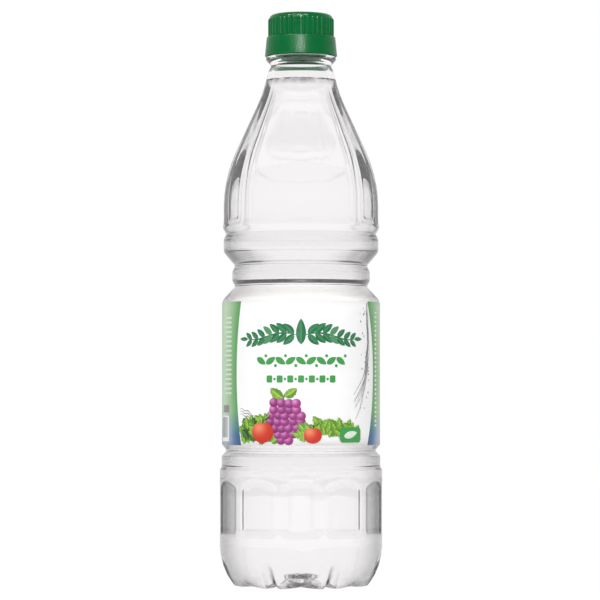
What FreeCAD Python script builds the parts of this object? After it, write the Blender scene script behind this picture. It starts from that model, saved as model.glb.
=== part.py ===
# A one-litre clear PET vinegar bottle: shell, contents, wrap label and screw cap.
#
# The bottle stands on the XY plane with its axis on Z, and its front faces -Y.
# Lengths are in millimetres and angles in degrees.
import FreeCAD, Part
import math
import os

import Sketcher

SIZES = (
    # name, value, what it is
    # base: seven feet round a pushed-up centre
    ("push_up", 5.0, "height of the pushed-up centre over the feet"),
    ("push_up_flat", 7.0, "radius of the flat centre"),
    ("foot_inner", 25.0, "inner radius of the feet's flats"),
    ("foot_outer", 31.0, "outer radius of the feet's flats"),
    ("heel_radius", 34.2, "radius where the heel meets the flank"),
    ("heel_height", 2.2, "height of the heel"),
    ("heel_curve", 5.0, "rounding of the heel"),
    ("flank_rise", 18.3, "height of the curved flank over the heel"),
    ("flank_curve", 31.0, "rounding of the flank"),
    ("foot_count", 7, "feet, and valleys between them"),
    ("valley_round", 4.2, "radius of a valley's round floor"),
    ("valley_height", 2.1, "height of a valley under the base"),
    ("valley_rise", 14.0, "height at which a valley runs out in the flank"),
    # grip panels between two rings
    ("body_radius", 40.0, "radius of the rings and of the posts between panels"),
    ("panel_sill", 5.1, "height of the ring under the panels"),
    ("panel_height", 26.4, "height of a grip panel"),
    ("panel_head", 5.3, "height of the ring over the panels"),
    ("panel_depth", 0.9, "depth of a grip panel"),
    ("panel_slope", 1.2, "height of a panel's sloped end"),
    ("panel_count", 11, "grip panels"),
    ("post_span", 4.93, "angle that a post between two panels takes"),
    ("ring_step", 1.4, "height of the step over the ring"),
    ("collar_radius", 39.1, "radius of the plain collar"),
    ("collar_height", 4.6, "height of the plain collar"),
    ("groove_height", 6.0, "height of the groove under the label"),
    ("groove_depth", 2.0, "depth of that groove"),
    # label seat
    ("seat_radius", 38.8, "radius of the wall under the label"),
    ("seat_height", 70.4, "height of the label's seat"),
    ("label_height", 69.8, "height of the label"),
    ("label_film", 0.12, "thickness of the label"),
    # waist and the ring over it
    ("waist_round", 4.1, "height of the rounded edge on each side of the waist"),
    ("waist_edge", 2.5, "how far that rounded edge draws in"),
    ("waist_flank", 3.4, "height of the sloped flank of the waist"),
    ("waist_radius", 32.8, "radius of the two narrow rings of the waist"),
    ("waist_ring", 10.4, "height of the rounded ring in the waist"),
    ("waist_ring_rise", 1.0, "how far that ring stands out"),
    ("bulge_radius", 38.2, "radius of the ring under the shoulder"),
    ("bulge_height", 5.3, "height of that ring"),
    ("pinch_height", 5.8, "height of the groove over it"),
    ("pinch_depth", 1.2, "depth of that groove"),
    # fluted shoulder
    ("shoulder_radius", 38.6, "radius of the ribs at the foot of the shoulder"),
    ("skirt_height", 10.3, "height of the straight foot of the shoulder"),
    ("shoulder_curve", 64.0, "outward rounding of the shoulder"),
    ("shoulder_height", 66.0, "height from the skirt to the neck's root"),
    ("throat_curve", 78.0, "inward rounding towards the neck"),
    ("throat_swell", 1.0, "how far its narrowest radius would stay over the finish"),
    ("throat_rise", 83.1, "height over the skirt at which it would be reached"),
    ("flute_count", 12, "flutes round the shoulder"),
    ("flute_rib_span", 9.0, "angle that a rib between two flutes takes"),
    ("flute_depth", 0.5, "depth of a flute"),
    ("flute_start", 1.6, "height of the flutes' foot over the groove"),
    ("flute_height", 66.0, "height of a flute"),
    # neck and its finish
    ("root_height", 4.3, "height of the neck's root"),
    ("neck_swell", 1.3, "how far the neck under the support ring stands out of the finish"),
    ("support_slope", 2.8, "height of the support ring's sloped underside"),
    ("support_edge", 1.4, "height of the support ring's edge"),
    ("support_reach", 3.7, "how far the support ring stands out of the finish"),
    ("finish_height", 19.4, "height of the neck over the support ring"),
    ("finish_radius", 13.6, "radius of the neck inside the cap"),
    ("finish_wall", 1.8, "wall of the neck inside the cap"),
    ("wall", 0.35, "wall of the blown body"),
    ("base_wall", 0.8, "wall of the base, which is thicker"),
    # contents
    ("headspace", 32.0, "empty height from the rim down to the vinegar"),
    # cap
    ("cap_top", 1.6, "thickness of the cap's top"),
    ("cap_clearance", 0.3, "clearance between the neck and the cap"),
    ("cap_wall", 2.4, "wall of the cap, ribs included"),
    ("cap_round", 2.6, "rounding of the cap's top edge"),
    ("cap_gap", 0.3, "gap between the band and the support ring"),
    ("band_height", 9.6, "height of the smooth band"),
    ("band_step", 0.6, "how far the band's top stands out of the ribs"),
    ("band_flare", 1.0, "how far the band's lower edge stands out of its top"),
    ("band_wall", 1.2, "wall of the band"),
    ("rib_count", 40, "grip ribs round the cap"),
    ("rib_span", 4.6, "angle of the gap between two ribs"),
    ("rib_depth", 0.35, "depth of that gap"),
)
CLEAR = 6.0  # how far a cutting outline reaches past the surface it cuts


def write_sheet(doc):
    """Put every driving dimension in a sheet, each under its own alias."""
    sheet = doc.addObject("Spreadsheet::Sheet", "sizes")
    sheet.Label = "sizes"
    for row, (name, value, meaning) in enumerate(SIZES, start=1):
        sheet.set(f"A{row}", name)
        sheet.set(f"B{row}", str(value))
        sheet.set(f"C{row}", meaning)
        sheet.setAlias(f"B{row}", name)
    doc.recompute()
    return sheet


def total(*names):
    """Expression for the sum of some named sizes."""
    return "(" + " + ".join(f"sizes.{name}" for name in names) + ")"


# Levels of the bottle, each one stacked on the level below.
HEEL = total("heel_height")
FLANK_TOP = f"({HEEL} + sizes.flank_rise)"
PANEL_FOOT = f"({FLANK_TOP} + sizes.panel_sill)"
PANEL_TOP = f"({PANEL_FOOT} + sizes.panel_height)"
RING_TOP = f"({PANEL_TOP} + sizes.panel_head)"
COLLAR_FOOT = f"({RING_TOP} + sizes.ring_step)"
COLLAR_TOP = f"({COLLAR_FOOT} + sizes.collar_height)"
SEAT_FOOT = f"({COLLAR_TOP} + sizes.groove_height)"
SEAT_TOP = f"({SEAT_FOOT} + sizes.seat_height)"
LOWER_FLANK = f"({SEAT_TOP} + sizes.waist_round)"
WAIST_FOOT = f"({LOWER_FLANK} + sizes.waist_flank)"
WAIST_TOP = f"({WAIST_FOOT} + sizes.waist_ring)"
UPPER_FLANK = f"({WAIST_TOP} + sizes.waist_flank)"
BULGE_FOOT = f"({UPPER_FLANK} + sizes.waist_round)"
BULGE_TOP = f"({BULGE_FOOT} + sizes.bulge_height)"
PINCH_TOP = f"({BULGE_TOP} + sizes.pinch_height)"
SKIRT_TOP = f"({PINCH_TOP} + sizes.skirt_height)"
THROAT = f"({SKIRT_TOP} + sizes.throat_rise)"
SHOULDER_TOP = f"({SKIRT_TOP} + sizes.shoulder_height)"
ROOT_TOP = f"({SHOULDER_TOP} + sizes.root_height)"
SUPPORT_EDGE = f"({ROOT_TOP} + sizes.support_slope)"
SUPPORT_TOP = f"({SUPPORT_EDGE} + sizes.support_edge)"
RIM = f"({SUPPORT_TOP} + sizes.finish_height)"
VINEGAR_TOP = f"({RIM} - sizes.headspace)"
BAND_FOOT = f"({SUPPORT_TOP} + sizes.cap_gap)"
BAND_TOP = f"({BAND_FOOT} + sizes.band_height)"
CAP_TOP = f"({RIM} + sizes.cap_top)"
FLUTE_FOOT = f"({PINCH_TOP} + sizes.flute_start)"
FLUTE_TOP = f"({FLUTE_FOOT} + sizes.flute_height)"

# Radii of the neck and of the cap, all of them tied to the neck's finish.
THROAT_RADIUS = total("finish_radius", "throat_swell")
NECK_RADIUS = total("finish_radius", "neck_swell")
SUPPORT_RADIUS = total("finish_radius", "support_reach")
MOUTH_RADIUS = "(sizes.finish_radius - sizes.finish_wall)"
CAP_BORE = total("finish_radius", "cap_clearance")
CAP_RADIUS = f"({CAP_BORE} + sizes.cap_wall)"
BAND_TOP_RADIUS = f"({CAP_RADIUS} + sizes.band_step)"
BAND_RADIUS = f"({BAND_TOP_RADIUS} + sizes.band_flare)"


def origin_part(body, role):
    """One of a body's own origin planes or axes."""
    return next(item for item in body.Origin.OriginFeatures if item.Role == role)


class Outline:
    """A closed outline in a body's YZ plane, tied to the sheet point by point.

    Radii are measured from the axis, and side says whether the outline lies on
    the +Y or the -Y side of it.
    """

    def __init__(self, body, name, side=1):
        self.sketch = body.newObject("Sketcher::SketchObject", name)
        self.sketch.AttachmentSupport = [(origin_part(body, "YZ_Plane"), "")]
        self.sketch.MapMode = "FlatFace"
        self.side = side
        self.first = None
        self.last = None
        self.here = None
        self.corner = None

    def value(self, expression):
        """Present value of an expression."""
        result = self.sketch.evalExpression(str(expression))
        return float(getattr(result, "Value", result))

    def bind(self, kind, *where, expression):
        """Add a dimension that follows an expression."""
        index = self.sketch.addConstraint(Sketcher.Constraint(kind, *where, self.value(expression)))
        self.sketch.setExpression(f"Constraints[{index}]", str(expression))

    def place(self, curve, end, radius, height):
        """Fix one end of a curve at a radius and a height."""
        if radius == 0:
            self.sketch.addConstraint(Sketcher.Constraint("PointOnObject", curve, end, -2))
        else:
            across = radius if self.side > 0 else f"-({radius})"
            self.bind("DistanceX", -1, 1, curve, end, expression=across)
        if height == 0:
            self.sketch.addConstraint(Sketcher.Constraint("PointOnObject", curve, end, -1))
        else:
            self.bind("DistanceY", -1, 1, curve, end, expression=height)

    def point(self, radius, height):
        """Present position of a corner in the sketch."""
        return FreeCAD.Vector(self.side * self.value(radius), self.value(height), 0)

    def start(self, radius, height):
        """Begin the outline at a corner."""
        self.here = self.point(radius, height)
        self.corner = (radius, height)

    def join(self, curve, begin, end):
        """Tie a new curve to the end of the one before."""
        if self.last is None:
            self.place(curve, begin, *self.corner)
            self.first = (curve, begin)
        else:
            self.sketch.addConstraint(Sketcher.Constraint("Coincident", *self.last, curve, begin))
        self.last = (curve, end)

    def line(self, radius, height):
        """Straight run to a corner."""
        target = self.point(radius, height)
        curve = self.sketch.addGeometry(Part.LineSegment(self.here, target), False)
        self.join(curve, 1, 2)
        self.place(curve, 2, radius, height)
        self.arrive(target, radius, height)

    def tangent(self, first, first_end, second, second_end):
        """Let one curve run smoothly into the next."""
        self.sketch.addConstraint(Sketcher.Constraint("Tangent", first, first_end, second, second_end))

    def arrive(self, target, radius, height):
        """Remember the corner that the outline has reached."""
        self.here = target
        self.corner = (radius, height)

    def draw_arc(self, centre, size, begin, end):
        """Draw the shorter arc between two points, and say which end is which."""
        turn = (begin - centre).cross(end - centre).z
        low, high = (begin, end) if turn > 0 else (end, begin)
        low_angle = math.atan2(low.y - centre.y, low.x - centre.x)
        high_angle = math.atan2(high.y - centre.y, high.x - centre.x)
        if high_angle < low_angle:
            high_angle += 2 * math.pi
        circle = Part.Circle(centre, FreeCAD.Vector(0, 0, 1), size)
        curve = self.sketch.addGeometry(Part.ArcOfCircle(circle, low_angle, high_angle), False)
        return (curve, 1, 2) if turn > 0 else (curve, 2, 1)

    def arc(self, radius, height, curve_radius, outward=True):
        """Arc to a corner, bulging away from the axis when outward is true."""
        target = self.point(radius, height)
        size = self.value(curve_radius)
        middle = (self.here + target) * 0.5
        chord = target - self.here
        across = FreeCAD.Vector(chord.y, -chord.x, 0).normalize()
        if (across.x * self.side > 0) != outward:
            across = -across
        centre = middle - across * math.sqrt(size ** 2 - (chord.Length / 2) ** 2)
        curve, begin, end = self.draw_arc(centre, size, self.here, target)
        self.join(curve, begin, end)
        self.place(curve, end, radius, height)
        self.bind("Radius", curve, expression=curve_radius)
        self.arrive(target, radius, height)

    def swell(self, radius, height, rise, outward=True):
        """Arc to a corner, whose middle stands out or in by rise."""
        up = f"(({height}) - ({self.corner[1]})) / 2"
        across = f"(({radius}) - ({self.corner[0]})) / 2"
        self.arc(radius, height, f"(({up}) ^ 2 + ({across}) ^ 2 + ({rise}) ^ 2) / (2 * ({rise}))", outward)

    def close(self):
        """Straight run back to the first corner."""
        closing = Part.LineSegment(self.here, self.sketch.getPoint(*self.first))
        curve = self.sketch.addGeometry(closing, False)
        self.join(curve, 1, 2)
        self.sketch.addConstraint(Sketcher.Constraint("Coincident", curve, 2, *self.first))
        return self.sketch


def inset_by(size, inset):
    """A radius drawn in by an inset."""
    return f"({size} - ({inset}))"


def shoulder_curve(outline, inset, top):
    """Follow the shoulder upward: straight skirt, outward arc, slope, inward arc.

    The slope is the straight line that touches both arcs.
    """
    foot = inset_by("sizes.shoulder_radius", inset)
    swell_axis = "(sizes.shoulder_radius - sizes.shoulder_curve)"
    throat_axis = f"({THROAT_RADIUS} + sizes.throat_curve)"
    swell_size = inset_by("sizes.shoulder_curve", inset)
    throat_size = f"(sizes.throat_curve + ({inset}))"
    outline.line(foot, SKIRT_TOP)

    swell_centre = outline.point(swell_axis, SKIRT_TOP)
    throat_centre = outline.point(throat_axis, THROAT)
    swell_reach = outline.value(swell_size)
    throat_reach = outline.value(throat_size)
    between = throat_centre - swell_centre
    lean = math.acos((swell_reach + throat_reach) / between.Length)
    bearing = math.atan2(between.y, between.x) - outline.side * lean
    normal = FreeCAD.Vector(math.cos(bearing), math.sin(bearing), 0)
    leave = swell_centre + normal * swell_reach
    meet = throat_centre - normal * throat_reach
    finish_height = outline.value(top)
    drop = finish_height - throat_centre.y
    across = math.sqrt(throat_reach ** 2 - drop ** 2)
    finish = FreeCAD.Vector(throat_centre.x - outline.side * across, finish_height, 0)

    swell, swell_begin, swell_end = outline.draw_arc(swell_centre, swell_reach, outline.here, leave)
    outline.join(swell, swell_begin, swell_end)
    outline.place(swell, 3, swell_axis, SKIRT_TOP)
    slope = outline.sketch.addGeometry(Part.LineSegment(leave, meet), False)
    outline.last = (slope, 2)
    outline.tangent(swell, swell_end, slope, 1)
    throat, throat_begin, throat_end = outline.draw_arc(throat_centre, throat_reach, meet, finish)
    outline.place(throat, 3, throat_axis, THROAT)
    outline.bind("Radius", throat, expression=throat_size)
    outline.tangent(slope, 2, throat, throat_begin)
    outline.bind("DistanceY", -1, 1, throat, throat_end, expression=top)
    outline.last = (throat, throat_end)
    outline.here = finish


def bottle_outline(body, wall, base_wall):
    """Outline of the bottle, or of its cavity when the walls are given."""
    outline = Outline(body, "Profile")

    def inside(size):
        return inset_by(size, wall)

    edge_size = "((sizes.waist_round ^ 2 + sizes.waist_edge ^ 2) / (2 * sizes.waist_edge))"
    top = f"(sizes.push_up + {base_wall})"
    outline.start(0, top)
    outline.line("sizes.push_up_flat", top)
    outline.line("sizes.foot_inner", base_wall)
    outline.line("sizes.foot_outer", base_wall)
    heel = inset_by("sizes.heel_radius", base_wall)
    outline.arc(heel, f"({HEEL} + {base_wall} / 2)", inset_by("sizes.heel_curve", base_wall))
    outline.arc(inside("sizes.body_radius"), FLANK_TOP, inside("sizes.flank_curve"))
    outline.line(inside("sizes.body_radius"), RING_TOP)
    outline.line(inside("sizes.collar_radius"), COLLAR_FOOT)
    outline.line(inside("sizes.collar_radius"), COLLAR_TOP)
    outline.swell(inside("sizes.seat_radius"), SEAT_FOOT, "sizes.groove_depth", outward=False)
    outline.line(inside("sizes.seat_radius"), SEAT_TOP)
    outline.arc(inside("(sizes.seat_radius - sizes.waist_edge)"), LOWER_FLANK, edge_size)
    outline.line(inside("sizes.waist_radius"), WAIST_FOOT)
    outline.swell(inside("sizes.waist_radius"), WAIST_TOP, "sizes.waist_ring_rise")
    outline.line(inside("(sizes.bulge_radius - sizes.waist_edge)"), UPPER_FLANK)
    outline.arc(inside("sizes.bulge_radius"), BULGE_FOOT, edge_size)
    outline.line(inside("sizes.bulge_radius"), BULGE_TOP)
    outline.swell(inside("sizes.shoulder_radius"), PINCH_TOP, "sizes.pinch_depth", outward=False)
    shoulder_curve(outline, wall, SHOULDER_TOP)
    return outline


def revolve(body, outline, kind, name, angle=None):
    """Revolve an outline about the axis: all round, or over an angle about its plane."""
    feature = body.newObject(kind, name)
    feature.Profile = outline.close()
    feature.ReferenceAxis = (feature.Profile[0], ["V_Axis"])
    if angle is None:
        feature.Angle = 360
    else:
        feature.Midplane = True
        feature.setExpression("Angle", angle)
    body.Tip = feature
    return feature


def repeat(body, feature, name, count):
    """Repeat a feature evenly round the axis."""
    pattern = body.newObject("PartDesign::PolarPattern", name)
    pattern.Originals = [feature]
    pattern.Axis = (origin_part(body, "Z_Axis"), [""])
    pattern.Angle = 360
    pattern.setExpression("Occurrences", count)
    body.Tip = pattern
    return pattern


def cut_flutes(body, wall):
    """Press the flutes into the shoulder, leaving a rib between neighbours."""
    outline = Outline(body, "FluteProfile")
    foot = inset_by(FLUTE_FOOT, wall)
    top = f"({FLUTE_TOP} + {wall})"
    inset = f"(sizes.flute_depth + {wall})"
    outline.start(inset_by("sizes.shoulder_radius", inset), foot)
    shoulder_curve(outline, inset, top)
    outline.line(f"(sizes.body_radius + {CLEAR})", top)
    outline.line(f"(sizes.body_radius + {CLEAR})", foot)
    angle = f"360 / sizes.flute_count - sizes.flute_rib_span + {wall} / {THROAT_RADIUS} * 360 / pi"
    flute = revolve(body, outline, "PartDesign::Groove", "Flute", angle)
    repeat(body, flute, "Flutes", "sizes.flute_count")


def cut_panels(body, wall):
    """Press the grip panels in, the first of them at the front."""
    outline = Outline(body, "PanelProfile", side=-1)
    foot = inset_by(PANEL_FOOT, wall)
    top = f"({PANEL_TOP} + {wall})"
    surface = inset_by("sizes.body_radius", wall)
    floor = inset_by(surface, "sizes.panel_depth")
    outline.start(surface, foot)
    outline.line(floor, f"({foot} + sizes.panel_slope)")
    outline.line(floor, f"({top} - sizes.panel_slope)")
    outline.line(surface, top)
    outline.line(f"(sizes.body_radius + {CLEAR})", top)
    outline.line(f"(sizes.body_radius + {CLEAR})", foot)
    angle = f"360 / sizes.panel_count - sizes.post_span + {wall} / sizes.body_radius * 360 / pi"
    panel = revolve(body, outline, "PartDesign::Groove", "Panel", angle)
    repeat(body, panel, "Panels", "sizes.panel_count")


def round_cutter(body, name, start, end, size):
    """Cut a round-floored valley whose deepest line runs from start to end."""
    outline = Outline(body, name + "Profile")
    outline.start(*start)
    outline.line(*end)
    sketch = outline.sketch
    begin = outline.point(*start)
    run = outline.here - begin
    away = FreeCAD.Vector(run.y, -run.x, 0).normalize() * outline.value(size)
    floor = 0
    side = sketch.addGeometry(Part.LineSegment(outline.here, outline.here + away), False)
    outline.join(side, 1, 2)
    axis = sketch.addGeometry(Part.LineSegment(outline.here + away, begin + away), False)
    outline.join(axis, 1, 2)
    outline.here = begin + away
    outline.close()
    back = axis + 1
    sketch.addConstraint(Sketcher.Constraint("Perpendicular", floor, side))
    sketch.addConstraint(Sketcher.Constraint("Perpendicular", floor, back))
    sketch.addConstraint(Sketcher.Constraint("Parallel", floor, axis))
    outline.bind("Distance", side, expression=size)
    groove = body.newObject("PartDesign::Groove", name)
    groove.Profile = sketch
    groove.ReferenceAxis = (sketch, [f"Edge{axis + 1}"])
    groove.Angle = 360
    body.Tip = groove
    return groove


def cut_valleys(body, base_wall):
    """Part the feet with valleys, so that a foot stands at the front.

    Each valley is a level channel under the base and a sloping one up the flank.
    """
    size = f"(sizes.valley_round + {base_wall})"
    ceiling = f"(sizes.valley_height + {base_wall})"
    inner = f"(sizes.push_up_flat + {CLEAR})"
    outer = f"(sizes.heel_radius + {CLEAR})"
    channel = round_cutter(body, "Channel", (inner, ceiling), (outer, ceiling), size)
    repeat(body, channel, "Channels", "sizes.foot_count")
    fall = f"({FLANK_TOP} - sizes.valley_rise)"
    reach = f"sqrt(sizes.flank_curve ^ 2 - {fall} ^ 2)"
    run_out = inset_by(f"(sizes.body_radius - sizes.flank_curve + {reach})", base_wall)
    low = (inset_by("sizes.foot_outer", base_wall), 0)
    slope = round_cutter(body, "Slope", low, (run_out, "sizes.valley_rise"), size)
    repeat(body, slope, "Slopes", "sizes.foot_count")


def blown_form(doc, name, wall, base_wall):
    """The bottle's body up to the neck's root, as a solid; returns it and its outline."""
    body = doc.addObject("PartDesign::Body", name)
    return body, bottle_outline(body, wall, base_wall)


def press_shapes(body, wall, base_wall):
    """Press flutes, grip panels and valleys into a blown form."""
    cut_flutes(body, wall)
    cut_panels(body, wall)
    cut_valleys(body, base_wall)


def make_outside(doc):
    """The bottle's outside, with its neck finish."""
    body, outline = blown_form(doc, "Outside", "0", "0")
    outline.line(NECK_RADIUS, ROOT_TOP)
    outline.line(SUPPORT_RADIUS, SUPPORT_EDGE)
    outline.line(SUPPORT_RADIUS, SUPPORT_TOP)
    outline.line("sizes.finish_radius", SUPPORT_TOP)
    outline.line("sizes.finish_radius", RIM)
    outline.line(0, RIM)
    revolve(body, outline, "PartDesign::Revolution", "Form")
    press_shapes(body, "0", "0")
    return body


def make_cavity(doc):
    """The room inside the bottle, up through the mouth."""
    body, outline = blown_form(doc, "Cavity", "sizes.wall", "sizes.base_wall")
    over_rim = f"({RIM} + {CLEAR})"
    outline.line(MOUTH_RADIUS, SUPPORT_EDGE)
    outline.line(MOUTH_RADIUS, over_rim)
    outline.line(0, over_rim)
    revolve(body, outline, "PartDesign::Revolution", "Form")
    press_shapes(body, "sizes.wall", "sizes.base_wall")
    return body


def make_bottle(doc, outside, cavity):
    """The clear shell: its outside less the room inside."""
    bottle = doc.addObject("Part::Cut", "Bottle")
    bottle.Label = "bottle"
    bottle.Base = outside
    bottle.Tool = cavity
    return bottle


def make_vinegar(doc, cavity):
    """The vinegar, which fills the room inside up to its level."""
    level = doc.addObject("Part::Cylinder", "FillLevel")
    level.setExpression("Radius", f"sizes.body_radius + {CLEAR}")
    level.setExpression("Height", VINEGAR_TOP)
    vinegar = doc.addObject("Part::Common", "Vinegar")
    vinegar.Label = "vinegar"
    vinegar.Base = cavity
    vinegar.Tool = level
    return vinegar


def make_label(doc):
    """The film label, wrapped round the middle of its seat."""
    body = doc.addObject("PartDesign::Body", "LabelBody")
    body.Label = "label"
    outline = Outline(body, "LabelProfile")
    foot = f"(({SEAT_FOOT} + {SEAT_TOP} - sizes.label_height) / 2)"
    top = f"({foot} + sizes.label_height)"
    outer = "(sizes.seat_radius + sizes.label_film)"
    outline.start("sizes.seat_radius", foot)
    outline.line(outer, foot)
    outline.line(outer, top)
    outline.line("sizes.seat_radius", top)
    revolve(body, outline, "PartDesign::Revolution", "Film")
    return body


def make_cap(doc):
    """The screw cap, which sits on the rim: ribbed crown and flared band."""
    body = doc.addObject("PartDesign::Body", "CapBody")
    body.Label = "cap"
    outline = Outline(body, "CapProfile")
    crown_round = inset_by(CAP_RADIUS, "sizes.cap_round")
    crown_edge = f"({CAP_TOP} - sizes.cap_round)"
    ledge = f"({BAND_TOP} - sizes.cap_top)"
    outline.start(0, RIM)
    outline.line(CAP_BORE, RIM)
    outline.line(CAP_BORE, ledge)
    outline.line(inset_by(BAND_TOP_RADIUS, "sizes.band_wall"), ledge)
    outline.line(inset_by(BAND_RADIUS, "sizes.band_wall"), BAND_FOOT)
    outline.line(BAND_RADIUS, BAND_FOOT)
    outline.line(BAND_TOP_RADIUS, BAND_TOP)
    outline.line(CAP_RADIUS, BAND_TOP)
    outline.line(CAP_RADIUS, crown_edge)
    outline.arc(crown_round, CAP_TOP, "sizes.cap_round")
    outline.line(0, CAP_TOP)
    revolve(body, outline, "PartDesign::Revolution", "Shell")

    gap = Outline(body, "RibGapProfile")
    floor = inset_by(CAP_RADIUS, "sizes.rib_depth")
    crown = inset_by(CAP_TOP, "sizes.rib_depth")
    gap.start(floor, BAND_TOP)
    gap.line(floor, crown_edge)
    gap.arc(crown_round, crown, inset_by("sizes.cap_round", "sizes.rib_depth"))
    gap.line(crown_round, f"({CAP_TOP} + {CLEAR})")
    gap.line(f"({CAP_RADIUS} + {CLEAR})", f"({CAP_TOP} + {CLEAR})")
    gap.line(f"({CAP_RADIUS} + {CLEAR})", BAND_TOP)
    groove = revolve(body, gap, "PartDesign::Groove", "RibGap", "sizes.rib_span")
    repeat(body, groove, "RibGaps", "sizes.rib_count")
    return body


def check(doc, pieces):
    """Stop with a plain message if anything failed to build."""
    for item in doc.Objects:
        if "Invalid" in item.State or "Error" in item.State:
            raise RuntimeError(f"{item.Name} failed: {item.State}")
    for piece in pieces:
        if piece.Shape.isNull() or not piece.Shape.isValid():
            raise RuntimeError(f"{piece.Label} has no valid shape")
        if len(piece.Shape.Solids) != 1:
            raise RuntimeError(f"{piece.Label} has {len(piece.Shape.Solids)} solids")


def main():
    """Build the bottle and write one STEP file for each piece."""
    doc = FreeCAD.newDocument("vinegar_bottle")
    write_sheet(doc)
    outside = make_outside(doc)
    cavity = make_cavity(doc)
    pieces = [
        make_bottle(doc, outside, cavity),
        make_vinegar(doc, cavity),
        make_label(doc),
        make_cap(doc),
    ]
    doc.recompute()
    check(doc, pieces)
    os.makedirs("parts", exist_ok=True)
    for piece in pieces:
        piece.Shape.exportStep(os.path.join("parts", f"{piece.Label}.step"))
        box = piece.Shape.BoundBox
        print(f"{piece.Label}: {piece.Shape.Volume / 1000:.2f} cm3, z {box.ZMin:.2f} to {box.ZMax:.2f},"
              f" across {box.XLength:.2f}")


main()
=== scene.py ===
"""Looks of the vinegar bottle: clear PET, vinegar, printed film label and green cap.

Meshes are worked out in millimetres and degrees; materials, lamps and the camera are
in metres. The axis is Z, the front of the label faces -Y, and bearings grow from there
towards +X.
"""

import math

import bpy
import numpy as np
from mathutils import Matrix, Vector


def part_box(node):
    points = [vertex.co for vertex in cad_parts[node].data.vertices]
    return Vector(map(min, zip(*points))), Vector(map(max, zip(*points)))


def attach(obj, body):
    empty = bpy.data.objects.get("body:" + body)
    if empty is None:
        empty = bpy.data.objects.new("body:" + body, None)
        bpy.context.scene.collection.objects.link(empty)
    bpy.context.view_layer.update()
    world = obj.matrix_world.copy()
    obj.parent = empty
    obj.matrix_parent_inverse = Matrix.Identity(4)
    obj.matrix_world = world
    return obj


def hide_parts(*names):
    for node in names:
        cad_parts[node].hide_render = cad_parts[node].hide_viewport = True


MM = 0.001
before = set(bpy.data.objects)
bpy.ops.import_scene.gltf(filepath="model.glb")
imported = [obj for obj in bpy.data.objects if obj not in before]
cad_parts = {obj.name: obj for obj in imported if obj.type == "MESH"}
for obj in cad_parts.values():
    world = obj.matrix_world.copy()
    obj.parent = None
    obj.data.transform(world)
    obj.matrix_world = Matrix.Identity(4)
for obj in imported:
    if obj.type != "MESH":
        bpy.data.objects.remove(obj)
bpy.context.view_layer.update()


# ---------------------------------------------------------------- sizes

def span(node):
    """Lowest and highest corner of a CAD node, in millimetres."""
    low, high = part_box(node)
    return [value / MM for value in low], [value / MM for value in high]


BODY_RADIUS = span("bottle")[1][0]
RIM = span("bottle")[1][2]
VINEGAR_TOP = span("vinegar")[1][2]
LABEL_FOOT = span("label")[0][2]
LABEL_TOP = span("label")[1][2]
LABEL_RADIUS = span("label")[1][0]
CAP_FOOT = span("cap")[0][2]
CAP_TOP = span("cap")[1][2]
BAND_RADIUS = span("cap")[1][0]

WALL = 0.8              # thickness of the shell as drawn
BORE = 12.7             # radius inside the neck
NECK_FOOT = 250.0
WAIST_SLOPE = 157.6, 165.0      # heights of the slope over the waist

FLUTES = 12
FLUTE_HALF = 11.2       # half the angle that a flute takes
FLUTE_FOOT = 176.6
FLUTE_FADE = 22.0       # height over which the flutes fade out under the neck
FLUTE_DEPTH = 0.36

PANELS = 11
PANEL_HALF = 13.9       # half the angle that a grip panel takes
PANEL_FOOT = 25.4
PANEL_TOP = 52.6
PANEL_ARCH = 15.0       # radius of its arched top
PANEL_CORNER = 3.2      # radius of its lower corners
PANEL_SLOPE = 2.3       # width of the slope inside its edge
PANEL_DEPTH = 0.66

FEET = 7
FOOT_EDGE = 32.0        # radius where the underside turns up into the side
FOOT_DRAW = 1.3         # how far the middle of a foot is drawn in
VALLEY_START = 14.0     # radius where the valleys between the feet start
VALLEY_TOP = 14.0
VALLEY_HALF = 3.2       # half their width on the side
VALLEY_DEPTH = 2.1
GATE_RADIUS = 12.5      # edge of the uneven middle of the base
GATE_DEPTH = 0.15       # how deep its folds and waves are


# ---------------------------------------------------------------- outlines

def rounded(corners, step, turn):
    """Points along a path of (radius, height, rounding) corners.

    They lie no further apart than step, and rounded corners turn by no more than
    turn, in degrees, from point to point.
    """
    path = [np.array(corners[0][:2], float)]

    def go_to(target):
        here = path[-1]
        count = max(1, math.ceil(np.linalg.norm(target - here) / step))
        for part in range(1, count + 1):
            path.append(here + (target - here) * part / count)

    for before, corner, after in zip(corners, corners[1:], corners[2:]):
        point, rounding = np.array(corner[:2], float), corner[2]
        back = np.array(before[:2], float) - point
        ahead = np.array(after[:2], float) - point
        back, ahead = back / np.linalg.norm(back), ahead / np.linalg.norm(ahead)
        opening = math.acos(float(np.clip(back @ ahead, -1, 1)))
        reach = rounding / math.tan(opening / 2)
        halfway = (back + ahead) / np.linalg.norm(back + ahead)
        middle = point + halfway * rounding / math.sin(opening / 2)
        start, end = point + back * reach - middle, point + ahead * reach - middle
        go_to(point + back * reach)
        swept = math.pi - opening
        pieces = max(2, math.ceil(math.degrees(swept) / turn), math.ceil(swept * rounding / step))
        for part in range(1, pieces + 1):
            share = part / pieces
            mixed = math.sin((1 - share) * swept) * start + math.sin(share * swept) * end
            path.append(middle + mixed / math.sin(swept))
    go_to(np.array(corners[-1][:2], float))
    return np.array(path)


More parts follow.
